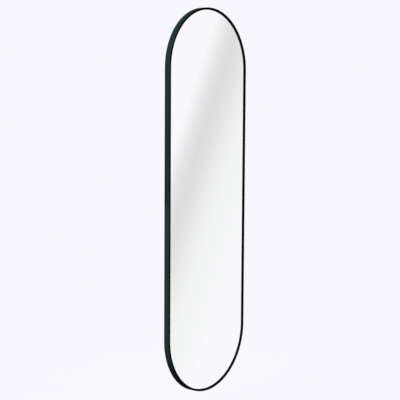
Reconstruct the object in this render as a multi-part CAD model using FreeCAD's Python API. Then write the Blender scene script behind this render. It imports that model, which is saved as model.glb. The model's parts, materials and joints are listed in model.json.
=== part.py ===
"""Capsule-shaped wall mirror in a slim black aluminium frame, hung on a two-part wall rail.

Millimetres, +Z up, +X to the viewer's right, +Y into the wall. The wall is the plane Y = 0, and the origin
is the middle of the wall rail's row of screw holes on that plane. The glass faces -Y.
A depth is measured back from the frame's front face, and an inset is measured in from its outer side.
"""

import FreeCAD
import Part
import math
import os

from FreeCAD import Vector

# Whole mirror
MIRROR_HEIGHT = 1600.0
MIRROR_WIDTH = 500.0
REAR_RECESS = 9.1           # backing board's face inside the frame's rear edge
WALL_GAP = 2.0              # shadow gap between the frame's rear edge and the wall
RAIL_BELOW_TOP = 370.0      # wall rail's screw row below the mirror's highest point

# Frame extrusion, bent into two U-shaped halves that meet half way up each side
FACE_WIDTH = 9.0            # front lip that covers the edge of the glass
SKIN = 1.5                  # outer wall, and the inner wall of the rear slot
LIP_THICKNESS = 3.0
LEDGE_THICKNESS = 1.5       # flange behind the glass that carries the backing board
LEDGE_REACH = 5.0           # flange's reach past the slot's inner wall
SLOT_LIP = 1.5              # lips that narrow the mouth of the rear T-slot
EDGE_RADIUS = 0.5           # rounding of the frame's visible edges
JOINT_GAP = 0.1             # hairline between the two halves

# Glass and what cushions it
GASKET_THICKNESS = 1.0
GASKET_SETBACK = 0.4        # gasket's inner edge behind the lip's inner edge
GLASS_THICKNESS = 4.0
GLASS_EDGE_GAP = 1.0        # all round, taken up by setting blocks at the bottom
FILM_THICKNESS = 0.3
GLASS_SLACK = 0.2           # between the film and the ledge
BLOCK_ANGLE = 10.0          # arc length of a setting block, in degrees
BLOCK_OFFSET = 25.0         # setting block's middle from the mirror's lowest point, in degrees
PAD_PLAY = 0.05             # setting block to the frame and to the glass
FOAM_PAD_SIDE = 60.0
FOAM_PAD_END = 240.0        # first and last pad's middle from the mirror's ends
FOAM_PAD_COUNT = 5

# Backing board
TAPE_THICKNESS = 0.9
TAPE_MARGIN = 0.4           # tape's sides from the edges of its ledge
BOARD_THICKNESS = 6.0
BOARD_EDGE_GAP = 0.3

# Turn buttons that hold the board in the frame
BUTTON_THICKNESS = 2.0
BUTTON_RIM = 0.4            # rounded end past the screw head
BUTTON_NOSE_RADIUS = 3.2
BUTTON_REACH = 13.0         # pivot to the middle of the nose
BUTTON_EDGE = 0.4           # rounding of the plate's rear rim and of the grip
BUTTON_PLAY = 0.1           # gap to the washer, the board and the screw head
BUTTON_BORE_PLAY = 0.06     # radial, about the screw
GRIP_LENGTH = 4.4
GRIP_WIDTH = 1.4
GRIP_HEIGHT = 1.2
ARC_BUTTON_ANGLE = 45.0     # arc buttons from the horizontal, in degrees
WASHER_THICKNESS = 0.5
WASHER_RIM = 0.6            # washer past the screw head
NUT_LENGTH = 9.0

# Fasteners
SCREW_RADIUS = 2.0          # 4 mm thread
SCREW_HEAD_RADIUS = 3.8
SCREW_HEAD_HEIGHT = 2.4
SCREW_HEAD_DOME = 1.4       # rounding of the head's rim
HEAD_CLEARANCE = 1.2        # pivot screw's head to the frame's outer wall
MOUTH_CLEARANCE = 0.5       # pivot screw's shank to the slot's lips
CROSS_WIDTH = 1.0           # cross recess in a screw head
CROSS_LENGTH = 4.4
CROSS_DEPTH = 1.3
HEX_ACROSS_FLATS = 2.0      # socket of a set screw
HEX_DEPTH = 2.0
THREAD_PLAY = 0.05          # radial, between a thread and its hole
SEAT_PLAY = 0.2             # each side of a loose piece in its slot

# Splice bars inside the T-slot, across the two frame joints
SPLICE_LENGTH = 120.0
SET_SCREW_MARGIN = 15.0     # set screws from the joint and from the bar's ends

# Wall rail and hanger rail, two lengths of one Z-shaped extrusion
RAIL_LENGTH = 320.0
RAIL_THICKNESS = 2.0
RAIL_FLANGE = 20.0
RAIL_HOOK = 10.0
RAIL_EDGE = 0.4             # rounding of the extrusion's edges
RAIL_PLAY = 0.3             # between the two hooks, front to back
RAIL_TIP_PLAY = 0.5         # wall rail's hook stops short of the hanger rail
WALL_HOLE_RADIUS = 2.6
WALL_HOLE_END = 30.0        # outer wall holes from the rail's ends
WALL_HOLE_INNER = 100.0     # distance between the inner pair of wall holes
HANGER_SCREW_COUNT = 6
HANGER_SCREW_END = 25.0     # outer screws from the rail's ends
PILOT_FLOOR = 1.3           # board left in front of a pilot hole

# Rubber bumpers that keep the lower end parallel to the wall
BUMPER_RADIUS = 7.0
BUMPER_EDGE = 1.5
BUMPER_INSET = 100.0        # from the mirror's side
BUMPER_RISE = 240.0         # above the mirror's lowest point

# Depths of the layers, front to back
GLASS_FRONT = LIP_THICKNESS + GASKET_THICKNESS
GLASS_BACK = GLASS_FRONT + GLASS_THICKNESS
FILM_BACK = GLASS_BACK + FILM_THICKNESS
LEDGE_FRONT = FILM_BACK + GLASS_SLACK
LEDGE_BACK = LEDGE_FRONT + LEDGE_THICKNESS
BOARD_FRONT = LEDGE_BACK + TAPE_THICKNESS
BOARD_BACK = BOARD_FRONT + BOARD_THICKNESS
SLOT_BACK = BOARD_BACK - WASHER_THICKNESS
SLOT_LIP_FRONT = SLOT_BACK - SLOT_LIP
BUTTON_FRONT = BOARD_BACK + BUTTON_PLAY
BUTTON_BACK = BUTTON_FRONT + BUTTON_THICKNESS
HEAD_FRONT = BUTTON_BACK + BUTTON_PLAY
PILOT_FRONT = BOARD_FRONT + PILOT_FLOOR
FRAME_DEPTH = BOARD_BACK + REAR_RECESS
WALL_DEPTH = FRAME_DEPTH + WALL_GAP

# Insets of the frame's walls
SLOT_WIDTH = 2 * (SCREW_HEAD_RADIUS + HEAD_CLEARANCE)
SLOT_MOUTH = 2 * (SCREW_RADIUS + MOUTH_CLEARANCE)
SLOT_INNER = SKIN + SLOT_WIDTH
INNER_WALL = SLOT_INNER + SKIN
LEDGE_EDGE = INNER_WALL + LEDGE_REACH
SLOT_CENTRE = SKIN + SLOT_WIDTH / 2
GLASS_INSET = SKIN + GLASS_EDGE_GAP
BOARD_INSET = INNER_WALL + BOARD_EDGE_GAP

# Places in the frame of the part
CENTRE_Z = RAIL_BELOW_TOP - MIRROR_HEIGHT / 2
ARC_RADIUS = MIRROR_WIDTH / 2
STRAIGHT = (MIRROR_HEIGHT - MIRROR_WIDTH) / 2   # mirror's centre to the centre of an end arc
PIVOT_RADIUS = ARC_RADIUS - SLOT_CENTRE
RAIL_OFFSET = (WALL_DEPTH - BOARD_BACK + RAIL_PLAY) / 2   # a rail's mounting face to its hook
HANGER_Z = RAIL_FLANGE + RAIL_HOOK                        # hanger rail's screw row above the wall rail's

BACK = Vector(0, 1, 0)      # direction in which depth grows
UP = Vector(0, 0, 1)


def y_at(depth):
    """Y of a depth behind the frame's front face."""
    return depth - WALL_DEPTH


def extruded(points, vector):
    """Solid made by extruding a closed polygon of 3-D points."""
    return Part.Face(Part.makePolygon([*points, points[0]])).extrude(vector)


def capsule_plate(inset, front, back):
    """Plate with the mirror's capsule outline, taken in by an inset, between two depths."""
    radius = ARC_RADIUS - inset
    y = y_at(front)
    top = CENTRE_Z + STRAIGHT
    bottom = CENTRE_Z - STRAIGHT
    right_low, right_high = Vector(radius, y, bottom), Vector(radius, y, top)
    left_low, left_high = Vector(-radius, y, bottom), Vector(-radius, y, top)
    outline = Part.Wire([
        Part.makeLine(right_low, right_high),
        Part.Arc(right_high, Vector(0, y, top + radius), left_high).toShape(),
        Part.makeLine(left_high, left_low),
        Part.Arc(left_low, Vector(0, y, bottom - radius), right_low).toShape(),
    ])
    return Part.Face(outline).extrude(BACK * (back - front))


def capsule_ring(outer_inset, inner_inset, front, back):
    """Closed capsule-shaped strip between two insets and two depths."""
    return capsule_plate(outer_inset, front, back).cut(capsule_plate(inner_inset, front, back))


def cylinder(radius, front, back, x, z):
    """Round bar along Y between two depths."""
    return Part.makeCylinder(radius, back - front, Vector(x, y_at(front), z), BACK)


def block(x_size, z_size, front, back, x, z):
    """Rectangular block between two depths, centred on x and z."""
    corner = Vector(x - x_size / 2, y_at(front), z - z_size / 2)
    return Part.makeBox(x_size, back - front, z_size, corner)


def rear_rounded(shape, radius):
    """Shape with the rim of its rearmost flat face rounded."""
    back = shape.BoundBox.YMax
    rim = [edge for edge in shape.Edges if edge.BoundBox.YMin > back - radius / 2]
    return shape.makeFillet(radius, rim)


def spread(count, reach):
    """Evenly spaced places from minus to plus a reach."""
    return [reach * (2 * i / (count - 1) - 1) for i in range(count)]


def turned_about_centre(shape):
    """Copy of a shape, turned half way round about the mirror's middle."""
    copy = shape.copy()
    copy.rotate(Vector(0, 0, CENTRE_Z), BACK, 180)
    return copy


def frame_section():
    """Cross-section of the frame extrusion, on the right-hand side at the mirror's centre height."""
    mouth_outer = SLOT_CENTRE - SLOT_MOUTH / 2
    mouth_inner = SLOT_CENTRE + SLOT_MOUTH / 2

    def at(inset, depth):
        return Vector(ARC_RADIUS - inset, y_at(depth), CENTRE_Z)

    rest = [
        (FACE_WIDTH, EDGE_RADIUS), (FACE_WIDTH, LIP_THICKNESS), (SKIN, LIP_THICKNESS), (SKIN, LEDGE_FRONT),
        (LEDGE_EDGE, LEDGE_FRONT), (LEDGE_EDGE, LEDGE_BACK), (INNER_WALL, LEDGE_BACK),
        (INNER_WALL, SLOT_BACK), (mouth_inner, SLOT_BACK), (mouth_inner, SLOT_LIP_FRONT),
        (SLOT_INNER, SLOT_LIP_FRONT),
        (SLOT_INNER, LEDGE_BACK), (SKIN, LEDGE_BACK), (SKIN, SLOT_LIP_FRONT), (mouth_outer, SLOT_LIP_FRONT),
        (mouth_outer, SLOT_BACK), (SKIN, SLOT_BACK), (SKIN, FRAME_DEPTH), (EDGE_RADIUS, FRAME_DEPTH),
    ]
    bulge = EDGE_RADIUS * (1 - math.sqrt(0.5))
    edges = [Part.makeLine(at(*a), at(*b)) for a, b in zip(rest, rest[1:])]
    edges += [
        Part.Arc(at(EDGE_RADIUS, FRAME_DEPTH), at(bulge, FRAME_DEPTH - bulge),
                 at(0, FRAME_DEPTH - EDGE_RADIUS)).toShape(),
        Part.makeLine(at(0, FRAME_DEPTH - EDGE_RADIUS), at(0, EDGE_RADIUS)),
        Part.Arc(at(0, EDGE_RADIUS), at(bulge, bulge), at(EDGE_RADIUS, 0)).toShape(),
        Part.makeLine(at(EDGE_RADIUS, 0), at(FACE_WIDTH - EDGE_RADIUS, 0)),
        Part.Arc(at(FACE_WIDTH - EDGE_RADIUS, 0), at(FACE_WIDTH - bulge, bulge),
                 at(FACE_WIDTH, EDGE_RADIUS)).toShape(),
    ]
    return Part.Face(Part.Wire(Part.__sortEdges__(edges)))


def frame_upper():
    """Upper half of the frame: two straight legs and the half-round top, from one bent extrusion."""
    leg_length = STRAIGHT - JOINT_GAP / 2
    section = frame_section()
    section.translate(UP * (JOINT_GAP / 2))
    right_leg = section.extrude(UP * leg_length)
    section.translate(UP * leg_length)
    arc_centre = Vector(0, 0, CENTRE_Z + STRAIGHT)
    arc = section.revolve(arc_centre, -BACK, 180)
    section.rotate(arc_centre, -BACK, 180)
    left_leg = section.extrude(-UP * leg_length)
    return right_leg.fuse([arc, left_leg]).removeSplitter()


def splice_bar(side):
    """Steel bar in the T-slot that lines up and joins the two frame halves on one side."""
    x = side * PIVOT_RADIUS
    bar = block(SLOT_WIDTH - 2 * SEAT_PLAY, SPLICE_LENGTH, LEDGE_BACK + SEAT_PLAY,
                SLOT_LIP_FRONT - THREAD_PLAY, x, CENTRE_Z)
    for x_screw, z_screw in set_screw_places(side):
        hole = cylinder(SCREW_RADIUS + THREAD_PLAY, LEDGE_BACK, SLOT_BACK, x_screw, z_screw)
        bar = bar.cut(hole)
    return bar


def set_screw_places(side):
    """X and Z of the set screws in one splice bar."""
    rises = (SET_SCREW_MARGIN, SPLICE_LENGTH / 2 - SET_SCREW_MARGIN)
    return [(side * PIVOT_RADIUS, CENTRE_Z + half * rise) for half in (-1, 1) for rise in rises]


def set_screw(x, z):
    """Headless socket screw that jams a splice bar between the slot's floor and its lips."""
    screw = cylinder(SCREW_RADIUS, LEDGE_BACK, SLOT_LIP_FRONT, x, z)
    corner = HEX_ACROSS_FLATS / math.sqrt(3)
    centre = Vector(x, y_at(SLOT_LIP_FRONT), z)
    hexagon = []
    for step in range(6):
        angle = math.radians(60 * step)
        hexagon.append(centre + Vector(corner * math.cos(angle), 0, corner * math.sin(angle)))
    return screw.cut(extruded(hexagon, -BACK * HEX_DEPTH))


def pan_head_screw(x, z, tip, seat):
    """Cross-recessed screw along Y: its shank between two depths, and its head behind the seat."""
    head_back = seat + SCREW_HEAD_HEIGHT
    head = rear_rounded(cylinder(SCREW_HEAD_RADIUS, seat, head_back, x, z), SCREW_HEAD_DOME)
    screw = head.fuse(cylinder(SCREW_RADIUS, tip, seat, x, z))
    for x_size, z_size in ((CROSS_LENGTH, CROSS_WIDTH), (CROSS_WIDTH, CROSS_LENGTH)):
        screw = screw.cut(block(x_size, z_size, head_back - CROSS_DEPTH, head_back, x, z))
    return screw


def glass_gasket():
    """Soft strip between the frame's lip and the face of the glass."""
    return capsule_ring(GLASS_INSET, FACE_WIDTH - GASKET_SETBACK, LIP_THICKNESS, GLASS_FRONT)


def board_tape():
    """Foam tape on the frame's ledge, under the rim of the backing board."""
    return capsule_ring(INNER_WALL + TAPE_MARGIN, LEDGE_EDGE - TAPE_MARGIN, LEDGE_BACK, BOARD_FRONT)


def setting_block(angle):
    """Thin curved pad under the glass, centred at an angle from the mirror's lowest point."""
    outer = ARC_RADIUS - SKIN - PAD_PLAY
    inner = ARC_RADIUS - GLASS_INSET + PAD_PLAY
    arc_centre = Vector(0, 0, CENTRE_Z - STRAIGHT)
    corners = [(inner, GLASS_FRONT), (outer, GLASS_FRONT), (outer, GLASS_BACK), (inner, GLASS_BACK)]
    points = [arc_centre + Vector(radius, y_at(depth), 0) for radius, depth in corners]
    section = Part.Face(Part.makePolygon([*points, points[0]]))
    pad = section.revolve(arc_centre, BACK, BLOCK_ANGLE)
    pad.rotate(arc_centre, BACK, 90 - angle - BLOCK_ANGLE / 2)
    return pad


def foam_pads():
    """Soft pads between the glass and the backing board, in a column down the middle."""
    reach = MIRROR_HEIGHT / 2 - FOAM_PAD_END
    heights = [CENTRE_Z + place for place in spread(FOAM_PAD_COUNT, reach)]
    return [block(FOAM_PAD_SIDE, FOAM_PAD_SIDE, FILM_BACK, BOARD_FRONT, 0, z) for z in heights]


def hanger_screw_places():
    """X of each screw that fixes the hanger rail to the board."""
    return spread(HANGER_SCREW_COUNT, RAIL_LENGTH / 2 - HANGER_SCREW_END)


def backing_board():
    """Fibreboard panel with pilot holes for the hanger rail's screws."""
    board = capsule_plate(BOARD_INSET, BOARD_FRONT, BOARD_BACK)
    for x in hanger_screw_places():
        board = board.cut(cylinder(SCREW_RADIUS + THREAD_PLAY, PILOT_FRONT, BOARD_BACK, x, HANGER_Z))
    return board


def rail(hook_length):
    """Z-shaped rail with its mounting face on the wall and its hook pointing up."""
    half = RAIL_FLANGE / 2
    hook_near = RAIL_OFFSET
    hook_far = RAIL_OFFSET + RAIL_THICKNESS
    tip = half + hook_length
    underside = half - RAIL_THICKNESS
    section = [
        (0, -half), (0, half), (hook_near, half), (hook_near, tip), (hook_far, tip),
        (hook_far, underside), (RAIL_THICKNESS, underside), (RAIL_THICKNESS, -half),
    ]
    points = [Vector(-RAIL_LENGTH / 2, -out, z) for out, z in section]
    shape = extruded(points, Vector(RAIL_LENGTH, 0, 0))
    long_edges = [edge for edge in shape.Edges if edge.BoundBox.XLength > RAIL_LENGTH / 2]
    return shape.makeFillet(RAIL_EDGE, long_edges)


def wall_rail():
    """Rail that is screwed to the wall, with a row of plain holes."""
    shape = rail(RAIL_HOOK - RAIL_TIP_PLAY)
    for x in (RAIL_LENGTH / 2 - WALL_HOLE_END, WALL_HOLE_INNER / 2):
        for side in (-1, 1):
            hole = cylinder(WALL_HOLE_RADIUS, WALL_DEPTH - RAIL_THICKNESS, WALL_DEPTH, side * x, 0)
            shape = shape.cut(hole)
    return shape


def hanger_rail():
    """The same rail turned over on the back of the board, its hook down behind the wall rail's."""
    shape = rail(RAIL_HOOK)
    shape.rotate(Vector(0, 0, 0), Vector(1, 0, 0), 180)
    shape.translate(Vector(0, y_at(BOARD_BACK), HANGER_Z))
    for x in hanger_screw_places():
        hole = cylinder(SCREW_RADIUS + THREAD_PLAY, BOARD_BACK, BOARD_BACK + RAIL_THICKNESS, x, HANGER_Z)
        shape = shape.cut(hole)
    return shape


def bumper(side):
    """Rubber bumper on the lower part of the board, reaching to the wall."""
    x = side * (ARC_RADIUS - BUMPER_INSET)
    z = CENTRE_Z - MIRROR_HEIGHT / 2 + BUMPER_RISE
    pad = cylinder(BUMPER_RADIUS, BOARD_BACK, WALL_DEPTH, x, z)
    return rear_rounded(pad, BUMPER_EDGE)


def button_places():
    """Name, pivot X and Z, and the direction of the nose in degrees from +X, for each turn button."""
    places = {}
    for word, side in (("left", -1), ("right", 1)):
        inward = 0 if side < 0 else 180
        for level, rise in (("upper", 1), ("lower", -1)):
            x = side * PIVOT_RADIUS
            places[f"{level}_{word}_side"] = (x, CENTRE_Z + rise * STRAIGHT / 2, inward)
            along = math.radians(ARC_BUTTON_ANGLE)
            x = side * PIVOT_RADIUS * math.cos(along)
            z = CENTRE_Z + rise * (STRAIGHT + PIVOT_RADIUS * math.sin(along))
            places[f"{level}_{word}_arc"] = (x, z, inward + side * rise * ARC_BUTTON_ANGLE)
    return places


def turn_button(x, z, direction):
    """Tapered latch plate with a finger grip, turned so that its nose lies over the board."""
    heel_radius = SCREW_HEAD_RADIUS + BUTTON_RIM
    lean = math.acos((heel_radius - BUTTON_NOSE_RADIUS) / BUTTON_REACH)
    y = y_at(BUTTON_FRONT)

    def on_end(centre, radius, angle):
        return Vector(centre + radius * math.cos(angle), y, radius * math.sin(angle))

    heel = [on_end(0, heel_radius, angle) for angle in (lean, math.pi, -lean)]
    nose = [on_end(BUTTON_REACH, BUTTON_NOSE_RADIUS, angle) for angle in (-lean, 0, lean)]
    outline = Part.Wire([
        Part.Arc(*heel).toShape(), Part.makeLine(heel[2], nose[0]),
        Part.Arc(*nose).toShape(), Part.makeLine(nose[2], heel[0]),
    ])
    plate = rear_rounded(Part.Face(outline).extrude(BACK * BUTTON_THICKNESS), BUTTON_EDGE)
    grip = block(GRIP_WIDTH, GRIP_LENGTH, BUTTON_BACK, BUTTON_BACK + GRIP_HEIGHT, BUTTON_REACH, 0)
    grip = rear_rounded(grip, BUTTON_EDGE)
    bore = cylinder(SCREW_RADIUS + BUTTON_BORE_PLAY, BUTTON_FRONT, BUTTON_BACK, 0, 0)
    button = plate.fuse(grip).cut(bore)
    button.rotate(Vector(0, 0, 0), BACK, -direction)
    button.translate(Vector(x, 0, z))
    return button


def washer(x, z):
    """Plain washer between a turn button and the frame's slot lips."""
    disc = cylinder(SCREW_HEAD_RADIUS + WASHER_RIM, SLOT_BACK, BOARD_BACK, x, z)
    return disc.cut(cylinder(SCREW_RADIUS + THREAD_PLAY, SLOT_BACK, BOARD_BACK, x, z))


def slot_nut(x, z, direction):
    """Flat nut held in the T-slot, square to the slot at its place."""
    nut = block(SLOT_WIDTH - 2 * SEAT_PLAY, NUT_LENGTH, LEDGE_BACK + SEAT_PLAY,
                SLOT_LIP_FRONT - THREAD_PLAY, 0, 0)
    nut = nut.cut(cylinder(SCREW_RADIUS + THREAD_PLAY, LEDGE_BACK, SLOT_LIP_FRONT, 0, 0))
    nut.rotate(Vector(0, 0, 0), BACK, -direction)
    nut.translate(Vector(x, 0, z))
    return nut


def pivot_screw(x, z):
    """Screw that a turn button turns on, from its nut in the slot to the head over the button."""
    return pan_head_screw(x, z, LEDGE_BACK + SEAT_PLAY, HEAD_FRONT)


def hanger_screw(x):
    """Screw that holds the hanger rail to the board."""
    return pan_head_screw(x, HANGER_Z, PILOT_FRONT + SEAT_PLAY, BOARD_BACK + RAIL_THICKNESS)


def build():
    """Every node's name and its list of solids."""
    upper = frame_upper()
    pivots = button_places()
    nodes = {
        "wall_rail": [wall_rail()],
        "hanger_rail": [hanger_rail()],
        "hanger_rail_screws": [hanger_screw(x) for x in hanger_screw_places()],
        "frame_upper": [upper],
        "frame_lower": [turned_about_centre(upper)],
        "splice_bar_left": [splice_bar(-1)],
        "splice_bar_right": [splice_bar(1)],
        "splice_set_screws": [set_screw(*place) for side in (-1, 1) for place in set_screw_places(side)],
        "glass_gasket": [glass_gasket()],
        "mirror_glass": [capsule_plate(GLASS_INSET, GLASS_FRONT, GLASS_BACK)],
        "safety_film": [capsule_plate(GLASS_INSET, GLASS_BACK, FILM_BACK)],
        "glass_setting_blocks": [setting_block(angle) for angle in (-BLOCK_OFFSET, BLOCK_OFFSET)],
        "foam_pads": foam_pads(),
        "board_tape": [board_tape()],
        "backing_board": [backing_board()],
        "pivot_screws": [pivot_screw(x, z) for x, z, _ in pivots.values()],
        "pivot_washers": [washer(x, z) for x, z, _ in pivots.values()],
        "pivot_nuts": [slot_nut(*place) for place in pivots.values()],
        "bumper_left": [bumper(-1)],
        "bumper_right": [bumper(1)],
    }
    for name, place in pivots.items():
        nodes[f"turn_button_{name}"] = [turn_button(*place)]
    return nodes


def main():
    """Writes one STEP file for each node and prints its volume."""
    os.makedirs("parts", exist_ok=True)
    for name, solids in build().items():
        shape = solids[0] if len(solids) == 1 else Part.makeCompound(solids)
        if not shape.isValid():
            raise ValueError(f"{name} isn't a valid shape")
        shape.exportStep(f"parts/{name}.step")
        print(f"{name}: {len(shape.Solids)} solid(s), {shape.Volume / 1000:.2f} cm3")


main()
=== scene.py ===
"""Looks of a capsule wall mirror: slim black frame, silvered glass, fibreboard back and hanging rail.

Metres, in the model's own frame: +Z up, +X to the viewer's right, +Y into the wall, which is the plane Y = 0.
A depth is measured back from the frame's front face, and an inset is measured in from its outer side.
"""

from __future__ import annotations

import json
import logging
import math
from collections.abc import Callable, Mapping, Sequence
from dataclasses import dataclass, field
from enum import Enum
from typing import Any, Union

import bmesh
import bpy
from mathutils import Matrix, Vector

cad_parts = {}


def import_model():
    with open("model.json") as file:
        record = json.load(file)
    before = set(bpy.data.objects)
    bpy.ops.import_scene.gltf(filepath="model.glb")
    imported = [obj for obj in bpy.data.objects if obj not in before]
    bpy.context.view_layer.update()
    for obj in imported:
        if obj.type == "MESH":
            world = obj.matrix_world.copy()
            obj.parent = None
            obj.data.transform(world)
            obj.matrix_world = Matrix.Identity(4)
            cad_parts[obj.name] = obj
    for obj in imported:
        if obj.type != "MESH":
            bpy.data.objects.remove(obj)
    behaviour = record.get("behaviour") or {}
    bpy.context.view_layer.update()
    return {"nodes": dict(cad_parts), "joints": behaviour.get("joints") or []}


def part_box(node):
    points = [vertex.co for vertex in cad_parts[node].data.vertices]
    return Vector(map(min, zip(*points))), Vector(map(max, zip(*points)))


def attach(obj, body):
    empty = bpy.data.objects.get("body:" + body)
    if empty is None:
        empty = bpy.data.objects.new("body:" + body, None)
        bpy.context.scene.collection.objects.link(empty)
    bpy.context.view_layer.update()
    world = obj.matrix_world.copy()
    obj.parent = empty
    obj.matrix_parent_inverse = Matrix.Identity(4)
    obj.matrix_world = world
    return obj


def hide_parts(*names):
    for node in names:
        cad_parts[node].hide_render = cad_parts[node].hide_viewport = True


LOG = logging.getLogger("capsule_mirror")
MM = 0.001
MERGE_DISTANCE = 1e-6
SHARP_ANGLE = math.radians(30)  # an edge from this angle on stays sharp
ROUND_STEPS = 48  # chords round a screw, a washer or a bumper
SLANT = 1 - math.sqrt(0.5)  # how far in a rounded edge's middle is, for a radius of 1

Triple = tuple[float, float, float]
Colour = Triple
Flat = tuple[float, float]
Key = Union[int, str]
Value = Union["Term", float]


def operator(operation: str, reflected: bool = False) -> Callable[[Term, Value], Term]:
    """Makes an operator of terms that adds one Math node.

    Args:
        operation: what the node works out.
        reflected: has the term on the right.

    Returns:
        The operator.
    """
    def work_out(term: Term, other: Value) -> Term:
        """Adds the node."""
        first, second = (other, term) if reflected else (term, other)
        return term.graph.node("ShaderNodeMath", {"operation": operation}, {0: first, 1: second})

    return work_out


class Term:
    """A node's output, which Python's operators combine through Math nodes."""

    def __init__(self, graph: Graph, socket: bpy.types.NodeSocket | None) -> None:
        """Keeps the socket and the graph that it belongs to."""
        self.graph = graph
        self.socket = socket

    def math(self, operation: str, other: Value = 0.0) -> Term:
        """Result of a Math node that has no operator."""
        return operator(operation)(self, other)

    def clamped(self, low: Value, high: Value) -> Term:
        """The term kept between two limits."""
        return self.math("MAXIMUM", low).math("MINIMUM", high)

    __add__, __radd__ = operator("ADD"), operator("ADD", reflected=True)
    __sub__, __rsub__ = operator("SUBTRACT"), operator("SUBTRACT", reflected=True)
    __mul__, __rmul__ = operator("MULTIPLY"), operator("MULTIPLY", reflected=True)
    __truediv__, __rtruediv__ = operator("DIVIDE"), operator("DIVIDE", reflected=True)
    __gt__, __lt__ = operator("GREATER_THAN"), operator("LESS_THAN")


@dataclass(frozen=True)
class Pattern:
    """Noise that runs through a piece."""

    scale: float  # features to the metre
    detail: float = 2.0  # finer layers that are added
    roughness: float = 0.5  # strength of the finer layers
    twist: float = 0.0  # how far the features curl
    stretch: Triple = (1.0, 1.0, 1.0)  # factor on the scale along each axis


class Graph:
    """Adds nodes to one shader or geometry tree."""

    def __init__(self, tree: bpy.types.NodeTree) -> None:
        """Keeps the tree."""
        self.tree = tree

    @staticmethod
    def pick(sockets: Sequence[bpy.types.NodeSocket], key: Key) -> bpy.types.NodeSocket:
        """Finds one of a node's sockets.

        Args:
            sockets: the node's inputs or outputs.
            key: an index, or the name of a socket in use.

        Returns:
            The socket.
        """
        if isinstance(key, int):
            return sockets[key]
        return next(socket for socket in sockets if socket.name == key and socket.enabled)

    def feed(self, socket: bpy.types.NodeSocket, value: Any) -> None:
        """Links a term to a socket, or sets the socket's own value.

        Args:
            socket: input to fill.
            value: a term, or a plain value of the socket's kind.
        """
        if isinstance(value, Term):
            self.tree.links.new(value.socket, socket)
        elif socket.type == "RGBA":
            socket.default_value = (*value, 1.0)
        else:
            socket.default_value = value

    @staticmethod
    def set_stops(ramp: bpy.types.ColorRamp, stops: Sequence[tuple[float, Colour]]) -> None:
        """Gives a ramp its stops, from the lowest to the highest.

        Args:
            ramp: the node's ramp.
            stops: place and colour of each stop.
        """
        while len(ramp.elements) < len(stops):
            ramp.elements.new(1.0)
        for element, (place, colour) in zip(ramp.elements, stops):
            element.position = place
            element.color = (*colour, 1.0)

    def node(self, kind: str, settings: Mapping[str, Any] | None = None,
             inputs: Mapping[Key, Any] | None = None, output: Key = 0) -> Term:
        """Adds one node.

        Args:
            kind: the node's type.
            settings: its properties, or a ramp's stops, which are set first.
            inputs: values or links, by socket name or index.
            output: name or index of the output to return.

        Returns:
            The chosen output, or an empty term for a node that has none.
        """
        added = self.tree.nodes.new(kind)
        for name, value in (settings or {}).items():
            if name == "stops":
                self.set_stops(added.color_ramp, value)
            else:
                setattr(added, name, value)
        for key, value in (inputs or {}).items():
            self.feed(self.pick(added.inputs, key), value)
        return Term(self, self.pick(added.outputs, output) if added.outputs else None)

    def vector_math(self, operation: str, *vectors: Any, output: Key = 0) -> Term:
        """Result of a Vector Math node."""
        return self.node("ShaderNodeVectorMath", {"operation": operation}, dict(enumerate(vectors)), output)

    def place(self, stretch: Triple = (1.0, 1.0, 1.0)) -> Term:
        """Object coordinates, scaled along each axis."""
        here = self.node("ShaderNodeTexCoord", output="Object")
        return self.node("ShaderNodeMapping", inputs={"Vector": here, "Scale": stretch})

    def noise(self, pattern: Pattern) -> Term:
        """Adds a noise pattern.

        Args:
            pattern: its settings.

        Returns:
            The noise, from 0 to 1.
        """
        return self.node("ShaderNodeTexNoise", inputs={
            "Vector": self.place(pattern.stretch), "Scale": pattern.scale, "Detail": pattern.detail,
            "Roughness": pattern.roughness, "Distortion": pattern.twist,
        }, output="Fac")

    def smooth(self, value: Term, low: float, high: float) -> Term:
        """Smooth step from 0 at a low value to 1 at a high one."""
        settings = {"interpolation_type": "SMOOTHSTEP", "clamp": True}
        return self.node("ShaderNodeMapRange", settings, {"Value": value, "From Min": low, "From Max": high})

    def mix(self, share: Value, first: Any, second: Any) -> Term:
        """Colour between two colours, by a share from 0 to 1."""
        inputs = {"Factor": share, "A": first, "B": second}
        return self.node("ShaderNodeMix", {"data_type": "RGBA"}, inputs, "Result")

    def bump(self, height: Term, distance: float, strength: float) -> Term:
        """Normal that follows a height from 0 to 1, which is a distance in metres at full strength."""
        inputs = {"Height": height, "Strength": strength, "Distance": distance}
        return self.node("ShaderNodeBump", inputs=inputs, output="Normal")

    def apart(self, vector: Term, axis: str) -> Term:
        """One part of a vector."""
        return self.node("ShaderNodeSeparateXYZ", inputs={"Vector": vector}, output=axis)

    def copies(self, points: Term, shape: Term) -> Term:
        """A copy of a shape at each point."""
        return self.node("GeometryNodeInstanceOnPoints", inputs={"Points": points, "Instance": shape})


def toned(colour: Colour, share: float) -> Colour:
    """A colour made darker or lighter."""
    return tuple(share * part for part in colour)


@dataclass(frozen=True)
class Finish:
    """A surface finish that makes one material."""

    name: str

    def material(self) -> bpy.types.Material:
        """Makes the finish's material the first time that it is asked for.

        Returns:
            The material.
        """
        made = bpy.data.materials.get(self.name)
        if made is None:
            made = bpy.data.materials.new(self.name)
            made.use_nodes = True
            graph = Graph(made.node_tree)
            shader = made.node_tree.nodes["Principled BSDF"]
            for socket, value in self.paint(graph).items():
                graph.feed(shader.inputs[socket], value)
        return made

    def paint(self, graph: Graph) -> dict[str, Any]:
        """Values or links of the shader's sockets, for the material whose nodes the graph adds."""
        raise NotImplementedError


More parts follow.
